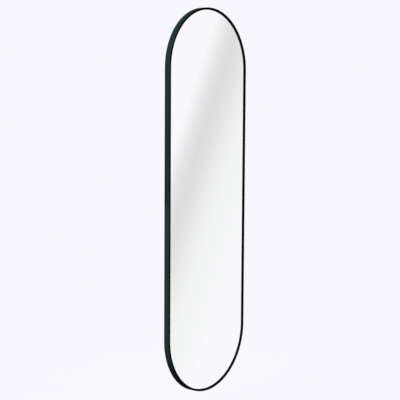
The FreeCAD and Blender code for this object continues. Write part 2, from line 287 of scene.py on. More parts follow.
@dataclass(frozen=True)
class PowderCoat(Finish):
    """Matt powder coat with a fine orange peel."""

    colour: Colour
    index: float = 1.03  # refractive index; a low one leaves little gloss
    roughness: float = 0.7
    contrast: float = 0.25  # how far the tone strays
    peel: Pattern = Pattern(1300.0, roughness=0.6)
    peel_height: float = 0.12 * MM
    cloud: Pattern = Pattern(7.0, detail=3.0)

    def paint(self, graph: Graph) -> dict[str, Any]:
        """Builds the coat's tone, sheen and peel.

        Args:
            graph: the material's nodes.

        Returns:
            Values or links of the shader's sockets.
        """
        peel, cloud = graph.noise(self.peel), graph.noise(self.cloud)
        darker, lighter = (toned(self.colour, 1 + way * self.contrast) for way in (-1, 1))
        return {
            "Base Color": graph.mix(0.65 * peel + 0.35 * cloud, darker, lighter),
            "Roughness": self.roughness + 0.2 * (peel - 0.5) + 0.1 * (cloud - 0.5),
            "Normal": graph.bump(peel, self.peel_height, strength=0.5),
            "IOR": self.index,
        }


@dataclass(frozen=True)
class SilveredGlass(Finish):
    """Clean float glass silvered on its back."""

    colour: Colour
    haze: float = 0.006  # roughness where the glass was wiped least
    wipes: Pattern = Pattern(3.0, detail=4.0, roughness=0.6, stretch=(5.0, 5.0, 1.4))

    def paint(self, graph: Graph) -> dict[str, Any]:
        """Builds the silver's tone and a trace of wiping marks.

        Args:
            graph: the material's nodes.

        Returns:
            Values or links of the shader's sockets.
        """
        wiped = graph.noise(self.wipes)
        return {
            "Base Color": graph.mix(wiped, toned(self.colour, 0.995), self.colour),
            "Roughness": self.haze * graph.smooth(wiped, 0.35, 0.75),
            "Metallic": 1.0,
        }


@dataclass(frozen=True)
class Fibreboard(Finish):
    """Pressed fibreboard: short fibres, fine flecks and slow cloudy changes of tone."""

    light: Colour
    dark: Colour
    fibres: Pattern = Pattern(420.0, detail=6.0, roughness=0.72, twist=1.6)
    mottle: Pattern = Pattern(48.0, detail=4.0, roughness=0.6, twist=0.6)
    cloud: Pattern = Pattern(5.0, detail=3.0)
    flecks: Pattern = Pattern(380.0, twist=1.2)
    fibre_height: float = 0.12 * MM

    def paint(self, graph: Graph) -> dict[str, Any]:
        """Builds fibres, flecks and a dry sheen.

        Args:
            graph: the material's nodes.

        Returns:
            Values or links of the shader's sockets.
        """
        fibres, mottle, cloud = (graph.noise(layer) for layer in (self.fibres, self.mottle, self.cloud))
        tone = 0.55 * fibres + 0.3 * mottle + 0.25 * cloud - 0.05
        flecks = graph.smooth(graph.noise(self.flecks), 0.66, 0.74)
        body = graph.mix(graph.smooth(tone, 0.32, 0.7), self.dark, self.light)
        return {
            "Base Color": graph.mix(0.6 * flecks, body, toned(self.dark, 0.55)),
            "Roughness": 0.62 + 0.25 * fibres,
            "Normal": graph.bump(fibres, self.fibre_height, strength=0.3),
            "Specular IOR Level": 0.3,
        }


@dataclass(frozen=True)
class MillAluminium(Finish):
    """Bare extruded aluminium with die lines along its length."""

    colour: Colour
    lines: Pattern = Pattern(2600.0, detail=3.0, roughness=0.6, stretch=(0.004, 1.0, 1.0))
    line_depth: float = 0.04 * MM
    bloom: Pattern = Pattern(45.0, detail=4.0, roughness=0.6, stretch=(0.3, 1.0, 1.0))

    def paint(self, graph: Graph) -> dict[str, Any]:
        """Builds die lines and a dull oxide bloom.

        Args:
            graph: the material's nodes.

        Returns:
            Values or links of the shader's sockets.
        """
        lines, bloom = graph.noise(self.lines), graph.noise(self.bloom)
        streaks = graph.smooth(0.6 * lines + 0.4 * bloom, 0.3, 0.7)
        return {
            "Base Color": graph.mix(streaks, toned(self.colour, 0.74), self.colour),
            "Roughness": 0.22 + 0.22 * lines + 0.16 * bloom,
            "Normal": graph.bump(lines, self.line_depth, strength=0.35),
            "Metallic": 1.0,
        }


@dataclass(frozen=True)
class PlatedSteel(Finish):
    """Steel with a thin plated coat, a little cloudy and faintly tinted."""

    colour: Colour
    tint: Colour
    roughness: float = 0.3
    cloud: Pattern = Pattern(160.0, detail=3.0, roughness=0.6)
    grain: Pattern = Pattern(2400.0)
    grain_height: float = 0.02 * MM

    def paint(self, graph: Graph) -> dict[str, Any]:
        """Builds the plating's tint, cloud and fine grain.

        Args:
            graph: the material's nodes.

        Returns:
            Values or links of the shader's sockets.
        """
        cloud, grain = graph.noise(self.cloud), graph.noise(self.grain)
        return {
            "Base Color": graph.mix(graph.smooth(cloud, 0.35, 0.7), self.colour, self.tint),
            "Roughness": self.roughness + 0.16 * (cloud - 0.5) + 0.1 * (grain - 0.5),
            "Normal": graph.bump(grain, self.grain_height, strength=0.15),
            "Metallic": 1.0,
        }


@dataclass(frozen=True)
class SoftPolymer(Finish):
    """Moulded or foamed polymer with a fine even texture."""

    colour: Colour
    roughness: float
    cells: float  # texture to the metre
    depth: float  # depth of the texture in metres
    cloud: Pattern = Pattern(30.0, detail=3.0)

    def paint(self, graph: Graph) -> dict[str, Any]:
        """Builds the polymer's tone and its texture.

        Args:
            graph: the material's nodes.

        Returns:
            Values or links of the shader's sockets.
        """
        cells = graph.noise(Pattern(self.cells, detail=3.0, roughness=0.6))
        cloud = graph.noise(self.cloud)
        return {
            "Base Color": graph.mix(0.5 * cells + 0.5 * cloud, toned(self.colour, 0.82), self.colour),
            "Roughness": self.roughness + 0.2 * (cells - 0.5),
            "Normal": graph.bump(cells, self.depth, strength=0.4),
            "Specular IOR Level": 0.35,
        }


COAT_UPPER = PowderCoat("powder_coat_upper_half", (0.0085, 0.0185, 0.0212))
COAT_LOWER = PowderCoat("powder_coat_lower_half", (0.0132, 0.0235, 0.0258))
SILVER = SilveredGlass("silvered_glass", (0.965, 0.965, 0.985))
BOARD = Fibreboard("raw_fibreboard", (0.43, 0.27, 0.135), (0.26, 0.15, 0.068))
RAIL_METAL = MillAluminium("mill_aluminium", (0.74, 0.75, 0.77))
ZINC = PlatedSteel("bright_zinc", (0.64, 0.66, 0.69), (0.66, 0.63, 0.55))
DARK_STEEL = PlatedSteel("blackened_steel", (0.045, 0.045, 0.048), (0.07, 0.068, 0.066), 0.42)
RUBBER = SoftPolymer("bumper_rubber_black", (0.026, 0.026, 0.028), 0.68, 900.0, 0.05 * MM)
GASKET = SoftPolymer("gasket_rubber", (0.012, 0.012, 0.013), 0.6, 1500.0, 0.03 * MM)
FOAM = SoftPolymer("closed_cell_foam", (0.82, 0.82, 0.8), 0.85, 700.0, 0.2 * MM)
NYLON = SoftPolymer("moulded_nylon", (0.78, 0.77, 0.72), 0.45, 1200.0, 0.02 * MM)
FILM = SoftPolymer("shatter_film", (0.3, 0.33, 0.36), 0.35, 420.0, 0.04 * MM)


def add_object(data: bpy.types.ID, finish: Finish | None = None) -> bpy.types.Object:
    """Links a new object to the scene, with the name of its data.

    Args:
        data: its mesh, lamp or camera.
        finish: the finish of a mesh.

    Returns:
        The object.
    """
    made = bpy.data.objects.new(data.name, data)
    bpy.context.scene.collection.objects.link(made)
    if finish:
        data.materials.append(finish.material())
    return made


def drop_object(piece: bpy.types.Object) -> None:
    """Removes a helper object together with its mesh."""
    bpy.data.meshes.remove(piece.data)


def plain_mesh(piece: bpy.types.Object) -> bpy.types.Mesh:
    """Mesh that an object's modifiers give."""
    return bpy.data.meshes.new_from_object(piece.evaluated_get(bpy.context.evaluated_depsgraph_get()))


def tidy_mesh(mesh: bpy.types.Mesh) -> bpy.types.Mesh:
    """Merges doubles, points the faces outwards and shades smoothly between sharp edges.

    Args:
        mesh: closed mesh to treat.

    Returns:
        The same mesh.
    """
    work = bmesh.new()
    work.from_mesh(mesh)
    bmesh.ops.remove_doubles(work, verts=work.verts, dist=MERGE_DISTANCE)
    bmesh.ops.recalc_face_normals(work, faces=work.faces)
    work.to_mesh(mesh)
    work.free()
    mesh.shade_smooth()
    mesh.set_sharp_from_angle(angle=SHARP_ANGLE)
    return mesh


def wire(name: str, points: Sequence[Vector], closed: bool = False) -> bpy.types.Mesh:
    """Mesh of loose vertices, or of one closed line through them.

    Args:
        name: the mesh's name.
        points: the vertices.
        closed: joins them to a line.

    Returns:
        The mesh.
    """
    count = len(points)
    edges = [(here, (here + 1) % count) for here in range(count)] if closed else []
    mesh = bpy.data.meshes.new(name)
    mesh.from_pydata(points, edges, [])
    return mesh


def loft(name: str, rings: Sequence[Sequence[Vector]], ring_shaped: bool = False) -> bpy.types.Mesh:
    """Closed mesh through a row of rings with equal numbers of points.

    Args:
        name: the mesh's name.
        rings: points of each ring.
        ring_shaped: joins the last ring to the first; otherwise flat ends close the mesh.

    Returns:
        The mesh.
    """
    count = len(rings[0])
    rows = [range(first, first + count) for first in range(0, count * len(rings), count)]
    pairs = list(zip(rows, rows[1:]))
    if ring_shaped:
        pairs.append((rows[-1], rows[0]))
    faces = [(low[here - 1], low[here], high[here], high[here - 1])
             for low, high in pairs for here in range(count)]
    if not ring_shaped:
        faces += [tuple(rows[0]), tuple(rows[-1])]
    mesh = bpy.data.meshes.new(name)
    mesh.from_pydata([point for ring in rings for point in ring], [], faces)
    return tidy_mesh(mesh)


def turned(name: str, profile: Sequence[Flat]) -> bpy.types.Mesh:
    """Closed round mesh about +Y.

    Args:
        name: the mesh's name.
        profile: radius and Y of each ring.

    Returns:
        The mesh.
    """
    angles = [2 * math.pi * step / ROUND_STEPS for step in range(ROUND_STEPS)]
    return loft(name, [[Vector((radius * math.cos(angle), y, radius * math.sin(angle))) for angle in angles]
                       for radius, y in profile])


def joined(name: str, parts: Sequence[bpy.types.Mesh]) -> bpy.types.Mesh:
    """One mesh of several, which are removed.

    Args:
        name: the new mesh's name.
        parts: closed meshes.

    Returns:
        The new mesh.
    """
    work = bmesh.new()
    for part in parts:
        work.from_mesh(part)
        bpy.data.meshes.remove(part)
    mesh = bpy.data.meshes.new(name)
    work.to_mesh(mesh)
    work.free()
    return tidy_mesh(mesh)


def quarter(centre: Flat, radius: float, start: float, steps: int = 5) -> list[Flat]:
    """Points of a quarter circle, counterclockwise from a start angle in degrees."""
    angles = [math.radians(start + 90 * step / steps) for step in range(steps + 1)]
    return [(centre[0] + radius * math.cos(angle), centre[1] + radius * math.sin(angle)) for angle in angles]


def rounded(centre: Flat, half: Flat, corner: float, steps: int = 5) -> list[Flat]:
    """Points of a rectangle with rounded corners.

    Args:
        centre: its middle.
        half: half of each side.
        corner: radius of the corners.
        steps: chords in each corner.

    Returns:
        The points, once round.
    """
    points = []
    for turn, (across, along) in enumerate(((1, 1), (-1, 1), (-1, -1), (1, -1))):
        middle = (centre[0] + across * (half[0] - corner), centre[1] + along * (half[1] - corner))
        points += quarter(middle, corner, 90 * turn, steps)
    return points


class NodeTool:
    """A Geometry Nodes tree that makes pieces out of the modifier's own mesh."""

    name: str
    sizes: Mapping[str, str]  # kind of each named input

    def shape(self, graph: Graph, size: Mapping[str, Term]) -> Term:
        """Geometry of the piece, which may hold instances, from each named input and the mesh."""
        raise NotImplementedError

    def tree(self) -> bpy.types.NodeTree:
        """Builds the tree the first time that it is asked for.

        Returns:
            The tree, which ends in Realize Instances and Set Material.
        """
        tree = bpy.data.node_groups.get(self.name)
        if tree:
            return tree
        tree = bpy.data.node_groups.new(self.name, "GeometryNodeTree")
        tree.is_modifier = True
        kinds = {"Geometry": "Geometry", **self.sizes, "Finish": "Material"}
        for label, kind in kinds.items():
            tree.interface.new_socket(label, in_out="INPUT", socket_type=f"NodeSocket{kind}")
        tree.interface.new_socket("Geometry", in_out="OUTPUT", socket_type="NodeSocketGeometry")
        graph = Graph(tree)
        size = {label: graph.node("NodeGroupInput", output=label) for label in kinds}
        real = graph.node("GeometryNodeRealizeInstances", inputs={"Geometry": self.shape(graph, size)})
        dressed = graph.node("GeometryNodeSetMaterial", inputs={"Geometry": real, "Material": size["Finish"]})
        graph.node("NodeGroupOutput", inputs={"Geometry": dressed})
        return tree

    def make(self, mesh: bpy.types.Mesh, finish: Finish, sizes: Mapping[str, Any]) -> bpy.types.Object:
        """Runs the tree on a mesh and keeps the result as a plain mesh.

        Args:
            mesh: the modifier's own mesh, which has the piece's name and is removed.
            finish: the piece's finish.
            sizes: value of each named input that isn't zero.

        Returns:
            The piece.
        """
        piece = add_object(mesh)
        modifier = piece.modifiers.new(self.name, "NODES")
        modifier.node_group = self.tree()
        values = {**sizes, "Finish": finish.material()}
        for item in modifier.node_group.interface.items_tree:
            if item.in_out == "INPUT" and item.name in values:
                modifier[item.identifier] = values[item.name]
        piece.data = tidy_mesh(plain_mesh(piece))
        piece.modifiers.clear()
        bpy.data.meshes.remove(mesh)
        piece.data.name = piece.name
        if piece.data.materials[0] is None:  # an empty slot that a sweep leaves
            piece.data.materials.pop(index=0)
        return piece


class PathKind(Enum):
    """Path that a section is swept along."""

    HALF = "half_frame_sweep"
    LOOP = "whole_capsule_sweep"


class CapsuleSweep(NodeTool):
    """Sweeps a closed section along half of the capsule or all of it."""

    sizes = {"Arc Radius": "Float", "Straight": "Float", "Arc Steps": "Int", "End Gap": "Float",
             "Middle": "Vector", "Turn": "Float"}

    def __init__(self, path: PathKind) -> None:
        """Keeps the path."""
        self.path = path
        self.name = path.value

    def shape(self, graph: Graph, size: Mapping[str, Term]) -> Term:
        """Bends a line into the path and sweeps the section along it.

        Args:
            graph: the tree.
            size: each named input, with the section as Geometry.

        Returns:
            The swept geometry.
        """
        steps, radius, straight, gap = (
            size[name] for name in ("Arc Steps", "Arc Radius", "Straight", "End Gap"))
        index = graph.node("GeometryNodeInputIndex")
        chord = math.pi / steps
        if self.path is PathKind.HALF:
            count = steps + 3
            angle = (chord * (index - 1)).clamped(0.0, math.pi)
            lift = gap + (index > 0) * (index < steps + 2) * (straight - gap)
        else:
            count = 2 * (steps + 1)
            lower = index > steps
            angle = chord * (index - lower)
            lift = straight * (1 - 2 * lower)
        line = graph.node("GeometryNodeMeshLine", inputs={"Count": count, "Offset": (0.0, 0.0, MM)})
        spot = graph.node("ShaderNodeCombineXYZ", inputs={
            "X": radius * angle.math("COSINE"), "Z": lift + radius * angle.math("SINE")})
        path = graph.node("GeometryNodeSetPosition", inputs={"Geometry": line, "Position": spot})
        path = graph.node("GeometryNodeMeshToCurve", inputs={"Mesh": path})
        if self.path is PathKind.LOOP:
            path = graph.node("GeometryNodeSetSplineCyclic", inputs={"Geometry": path, "Cyclic": True})
        here = graph.node("GeometryNodeInputPosition")
        height = graph.apart(here, "Z")
        outward = graph.node("ShaderNodeCombineXYZ", inputs={
            "X": graph.apart(here, "X"), "Z": height - height.clamped(0 - straight, straight)})
        outward = graph.vector_math("NORMALIZE", outward)
        path = graph.node("GeometryNodeSetCurveNormal", {"mode": "FREE"}, {"Curve": path, "Normal": outward})
        section = graph.node("GeometryNodeMeshToCurve", inputs={"Mesh": size["Geometry"]})
        tube = graph.node("GeometryNodeCurveToMesh", inputs={
            "Curve": path, "Profile Curve": section, "Fill Caps": True})
        turn = graph.node("FunctionNodeAxisAngleToRotation", inputs={
            "Axis": (0.0, 1.0, 0.0), "Angle": size["Turn"]})
        return graph.node("GeometryNodeTransform", inputs={
            "Geometry": tube, "Translation": size["Middle"], "Rotation": turn})


class EvenRow(NodeTool):
    """Repeats the mesh in an even row."""

    name = "even_row"
    sizes = {"Count": "Int", "First": "Vector", "Step": "Vector"}

    def shape(self, graph: Graph, size: Mapping[str, Term]) -> Term:
        """Copies the mesh along a line.

        Args:
            graph: the tree.
            size: each named input, with the mesh as Geometry.

        Returns:
            The copies.
        """
        line = graph.node("GeometryNodeMeshLine", inputs={
            "Count": size["Count"], "Start Location": size["First"], "Offset": size["Step"]})
        return graph.copies(line, size["Geometry"])


class FixingAtMarks(NodeTool):
    """Sets a copy of another object's mesh at each vertex."""

    name = "fixing_at_marks"
    sizes = {"Fixing": "Object"}

    def shape(self, graph: Graph, size: Mapping[str, Term]) -> Term:
        """Copies the fixing to the vertices."""
        fixing = graph.node("GeometryNodeObjectInfo", inputs={"Object": size["Fixing"]}, output="Geometry")
        return graph.copies(size["Geometry"], fixing)


class WasherAtMarks(NodeTool):
    """Makes a flat washer about +Y at each vertex."""

    name = "washer_at_marks"
    sizes = {"Outer Radius": "Float", "Bore Radius": "Float", "Thickness": "Float"}

    def shape(self, graph: Graph, size: Mapping[str, Term]) -> Term:
        """Sweeps a strip round a circle and copies it to the vertices.

        Args:
            graph: the tree.
            size: each named input, with the vertices as Geometry.

        Returns:
            The washers.
        """
        outer, bore = size["Outer Radius"], size["Bore Radius"]
        circle = graph.node("GeometryNodeCurvePrimitiveCircle", inputs={
            "Resolution": ROUND_STEPS, "Radius": (outer + bore) / 2})
        strip = graph.node("GeometryNodeCurvePrimitiveQuadrilateral", inputs={
            "Width": outer - bore, "Height": size["Thickness"]})
        disc = graph.node("GeometryNodeCurveToMesh", inputs={"Curve": circle, "Profile Curve": strip})
        upright = graph.node("FunctionNodeAxisAngleToRotation", inputs={
            "Axis": (1.0, 0.0, 0.0), "Angle": math.pi / 2})
        disc = graph.node("GeometryNodeTransform", inputs={"Geometry": disc, "Rotation": upright})
        return graph.copies(size["Geometry"], disc)


HALF_SWEEP = CapsuleSweep(PathKind.HALF)
LOOP_SWEEP = CapsuleSweep(PathKind.LOOP)
EVEN_ROW = EvenRow()
FIXING_AT_MARKS = FixingAtMarks()
WASHER_AT_MARKS = WasherAtMarks()


@dataclass(frozen=True)
class Outline:
    """The mirror's capsule outline, and the planes of the frame's front and rear."""

    radius: float
    straight: float  # middle to the centre of an end arc
    middle: float  # height of the mirror's middle
    front: float
    rear: float
    bottom: float
    arc_steps: int = 96  # chords in each end arc

    @classmethod
    def from_model(cls) -> Outline:
        """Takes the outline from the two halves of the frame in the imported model.

        Returns:
            The outline.
        """
        low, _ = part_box("frame_lower")
        start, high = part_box("frame_upper")
        radius = (high.x - start.x) / 2
        straight = (high.z - low.z) / 2 - radius
        return cls(radius, straight, (high.z + low.z) / 2, start.y, high.y, low.z)

    def at(self, x: float, depth: float, z: float) -> Vector:
        """Point at a depth behind the frame's front face."""
        return Vector((x, self.front + depth, z))

    def ring(self, inset: float, depth: float) -> list[Vector]:
        """Points of the outline, taken in by an inset.

        Args:
            inset: distance in from the frame's outer side.
            depth: distance behind the frame's front face.

        Returns:
            The points, once round.
        """
        reach = self.radius - inset
        points = []
        for end in (1, -1):
            for step in range(self.arc_steps + 1):
                angle = math.pi * (step / self.arc_steps + (end < 0))
                points.append(self.at(reach * math.cos(angle), depth,
                                      self.middle + end * self.straight + reach * math.sin(angle)))
        return points

    def plate(self, name: str, rim: Sequence[Flat], finish: Finish) -> bpy.types.Object:
        """Plate with the outline's shape, by the inset and depth of each line round its rim."""
        return add_object(loft(name, [self.ring(*line) for line in rim]), finish)

    def strip(self, name: str, path: CapsuleSweep, section: Sequence[Flat], finish: Finish,
              sizes: Mapping[str, float] | None = None) -> bpy.types.Object:
        """Piece with one section all along the outline.

        Args:
            name: the piece's name.
            path: half of the outline or all of it.
            section: inset and depth of each corner, once round.
            finish: its finish.
            sizes: further inputs of the sweep.

        Returns:
            The piece.
        """
        corners = [self.at(-inset, depth, 0.0) for inset, depth in section]
        return path.make(wire(name, corners, closed=True), finish, {
            "Arc Radius": self.radius, "Straight": self.straight, "Arc Steps": self.arc_steps,
            "Middle": (0.0, 0.0, self.middle), **(sizes or {}),
        })


def hand_over(piece: bpy.types.Object, node: str, body: str = "mirror") -> None:
    """Lets a piece ride on its body and stand for its node, and reports it.

    Args:
        piece: finished plain mesh.
        node: node of the model that it stands for.
        body: body that it moves with.
    """
    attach(piece, body)
    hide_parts(node)
    finish = piece.data.materials[0].name
    LOG.info("%s: %d faces, %s, for %s", piece.name, len(piece.data.polygons), finish, node)


@dataclass
class FrameHalves:
    """The two bent halves of the black extrusion, which meet half way up each side."""

    outline: Outline
    face_width: float = 9.0 * MM
    skin: float = 1.5 * MM
    lip: float = 3.0 * MM
    ledge_front: float = 8.5 * MM
    ledge_back: float = 10.0 * MM
    ledge_edge: float = 18.0 * MM
    inner_wall: float = 13.0 * MM
    slot_inner: float = 11.5 * MM
    slot_lip_front: float = 14.9 * MM
    slot_back: float = 16.4 * MM
    mouth: Flat = (4.0 * MM, 9.0 * MM)
    edge_radius: float = 0.5 * MM
    joint_gap: float = 0.1 * MM

    def section(self) -> list[Flat]:
        """Draws the extrusion's section.

        Returns:
            Inset and depth of each corner, once round.
        """
        edge, face, skin = self.edge_radius, self.face_width, self.skin
        depth = self.outline.rear - self.outline.front
        outer_mouth, inner_mouth = self.mouth
        return [
            (face, self.lip), (skin, self.lip), (skin, self.ledge_front),
            (self.ledge_edge, self.ledge_front), (self.ledge_edge, self.ledge_back),
            (self.inner_wall, self.ledge_back), (self.inner_wall, self.slot_back),
            (inner_mouth, self.slot_back), (inner_mouth, self.slot_lip_front),
            (self.slot_inner, self.slot_lip_front), (self.slot_inner, self.ledge_back),
            (skin, self.ledge_back), (skin, self.slot_lip_front), (outer_mouth, self.slot_lip_front),
            (outer_mouth, self.slot_back), (skin, self.slot_back), (skin, depth),
            *quarter((edge, depth - edge), edge, 90.0),
            *quarter((edge, edge), edge, 180.0),
            *quarter((face - edge, edge), edge, 270.0),
        ]

    def build(self) -> None:
        """Makes and dresses both halves."""
        for word, turn, coat in (("upper", 0.0, COAT_UPPER), ("lower", math.pi, COAT_LOWER)):
            sizes = {"Turn": turn, "End Gap": self.joint_gap / 2}
            half = self.outline.strip(f"frame_half_{word}", HALF_SWEEP, self.section(), coat, sizes)
            hand_over(half, f"frame_{word}")


@dataclass
class GlassPack:
    """Silvered glass, the soft strip in front of it, the blocks under it and the pads behind it."""

    outline: Outline
    inset: float = 2.5 * MM
    front: float = 4.0 * MM
    back: float = 8.0 * MM
    arris: float = 0.5 * MM
    gasket_front: float = 3.0 * MM
    gasket_inner: float = 8.6 * MM
    gasket_round: float = 0.35 * MM
    block_outer: float = 1.55 * MM
    block_inner: float = 2.45 * MM
    block_round: float = 0.25 * MM
    block_end_corner: float = 0.0625 * MM
    block_span: float = math.radians(10)  # angle that a setting block takes up
    block_offset: float = math.radians(25)  # its middle from the mirror's lowest point
    block_steps: int = 10
    pad_bulge: float = 0.6 * MM
    pad_corner: float = 6.0 * MM
    pad_levels: Sequence[float] = (0.0, 0.1, 0.3, 0.5, 0.7, 0.9, 1.0)
    pad_count: int = 5

    def glass(self) -> None:
        """Makes and dresses the plate of glass, with eased edges."""
        inset, arris, front, back = self.inset, self.arris, self.front, self.back
        rim = [(inset + arris, front), (inset, front + arris), (inset, back - arris), (inset + arris, back)]
        hand_over(self.outline.plate("mirror_plate", rim, SILVER), "mirror_glass")

    def gasket(self) -> None:
        """Makes and dresses the strip between the frame's lip and the glass, with a rounded inner edge."""
        soft, inner, front, back = self.gasket_round, self.gasket_inner, self.gasket_front, self.front
        section = [(self.inset, back), (self.inset, front),
                   *quarter((inner - soft, front + soft), soft, 270.0),
                   *quarter((inner - soft, back - soft), soft, 0.0)]
        piece = self.outline.strip("gasket_strip", LOOP_SWEEP, section, GASKET)
        hand_over(piece, "glass_gasket")

    def block(self, offset: float) -> bpy.types.Mesh:
        """Makes one thin curved block of rubber under the glass, with eased edges.

        Args:
            offset: angle of its middle from the mirror's lowest point.

        Returns:
            The mesh.
        """
        soft, slant = self.block_round, SLANT * self.block_round
        thick, deep = (self.block_inner - self.block_outer) / 2, (self.back - self.front) / 2
        reach, depth = self.outline.radius - self.block_outer - thick, self.front + deep
        half, inner = self.block_span / 2, self.block_span / 2 - soft / reach
        end = [(half, soft), (half - slant / reach, slant), (inner, 0.0)]
        spots = [(-angle, taken) for angle, taken in end]
        spots += [(inner * (2 * step / self.block_steps - 1), 0.0) for step in range(1, self.block_steps)]
        spots += reversed(end)
        centre = self.outline.bottom + self.outline.radius
        rings = []
        for angle, taken in spots:
            corner = max(soft - taken, self.block_end_corner)
            across, up = math.sin(offset + angle), math.cos(offset + angle)
            flat = rounded((reach, depth), (thick - taken, deep - taken), corner, steps=4)
            rings.append([self.outline.at(far * across, back, centre - far * up) for far, back in flat])
        return loft("setting_block", rings)

    def blocks(self) -> None:
        """Makes and dresses both setting blocks."""
        parts = [self.block(side * self.block_offset) for side in (-1, 1)]
        piece = add_object(joined("glass_seat_blocks", parts), GASKET)
        hand_over(piece, "glass_setting_blocks")

    def pads(self) -> None:
        """Makes and dresses the column of foam pads, whose squeezed sides bulge."""
        low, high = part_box("foam_pads")
        side = (high.x - low.x) / 2
        rings = []
        for share in self.pad_levels:
            half = side - self.pad_bulge * (2 * share - 1) ** 2
            flat = rounded((0.0, 0.0), (half, half), self.pad_corner, steps=6)
            rings.append([Vector((x, share * (high.y - low.y), z)) for x, z in flat])
        step = (high.z - low.z - 2 * side) / (self.pad_count - 1)
        pads = EVEN_ROW.make(loft("foam_pad_column", rings), FOAM, {
            "Count": self.pad_count, "First": (0.0, low.y, low.z + side), "Step": (0.0, 0.0, step),
        })
        hand_over(pads, "foam_pads")

    def build(self) -> None:
        """Makes and dresses the glass and what cushions it."""
        self.glass()
        self.gasket()
        self.blocks()
        self.pads()


@dataclass
class BackBoard:
    """Fibreboard panel and the foam tape that it is bedded on."""

    outline: Outline
    inset: float = 13.3 * MM
    front: float = 10.9 * MM
    back: float = 16.9 * MM
    eased: float = 0.5 * MM
    tape_outer: float = 13.4 * MM
    tape_inner: float = 17.6 * MM
    tape_front: float = 10.0 * MM
    tape_round: float = 0.4 * MM

    def board(self) -> None:
        """Makes and dresses the panel, with slightly rounded edges."""
        inset, eased, front, back = self.inset, self.eased, self.front, self.back
        slant = SLANT * eased
        rim = [(inset + eased, front), (inset + slant, front + slant), (inset, front + eased),
               (inset, back - eased), (inset + slant, back - slant), (inset + eased, back)]
        hand_over(self.outline.plate("fibreboard_panel", rim, BOARD), "backing_board")

    def tape(self) -> None:
        """Makes and dresses the foam tape on the frame's ledge, with rounded sides."""
        sides = ((self.tape_outer, self.tape_inner), (self.tape_front, self.front))
        centre = tuple((low + high) / 2 for low, high in sides)
        half = tuple((high - low) / 2 for low, high in sides)
        piece = self.outline.strip("bedding_tape", LOOP_SWEEP, rounded(centre, half, self.tape_round), FOAM)
        hand_over(piece, "board_tape")

    def build(self) -> None:
        """Makes and dresses the board and its tape."""
        self.board()
        self.tape()


@dataclass
class PanHeadScrew:
    """Round-headed screw with a cross recess, about +Y, with the underside of its head at Y = 0."""

    shank: float
    shank_radius: float = 2.0 * MM
    head_radius: float = 3.8 * MM
    head_height: float = 2.4 * MM
    dome: float = 1.4 * MM
    tip: float = 0.6 * MM
    recess_length: float = 4.4 * MM
    recess_width: float = 1.0 * MM
    recess_depth: float = 1.3 * MM
    recess_taper: float = 0.72  # size of the cutter at the bottom of the recess
    recess_flare: float = 1.2  # and above the head
    clearance: float = 1.0 * MM  # cutter above the head

    def recess(self) -> bpy.types.Object:
        """Makes the cross-shaped cutter, which narrows towards the bottom of the recess.

        Returns:
            The cutter.
        """
        long, short = self.recess_length / 2, self.recess_width / 2
        arm = [(long, -short), (long, short), (short, short)]
        plus = []
        for _ in range(4):
            plus += arm
            arm = [(-z, x) for x, z in arm]
        levels = ((self.head_height - self.recess_depth, self.recess_taper),
                  (self.head_height + self.clearance, self.recess_flare))
        rings = [[Vector((share * x, y, share * z)) for x, z in plus] for y, share in levels]
        return add_object(loft("recess_cutter", rings))

    def mesh(self, name: str) -> bpy.types.Mesh:
        """Makes the screw.

        Args:
            name: the mesh's name.

        Returns:
            The mesh.
        """
        radius, head = self.shank_radius, self.head_radius
        screw = add_object(turned("whole_screw", [
            (radius - self.tip, -self.shank), (radius, self.tip - self.shank), (radius, 0.0), (head, 0.0),
            *quarter((head - self.dome, self.head_height - self.dome), self.dome, 0.0, steps=6)]))
        cutter = self.recess()
        cut = screw.modifiers.new("recess", "BOOLEAN")
        cut.operation, cut.solver, cut.object = "DIFFERENCE", "EXACT", cutter
        made = tidy_mesh(plain_mesh(screw))
        made.name = name
        for helper in (screw, cutter):
            drop_object(helper)
        return made


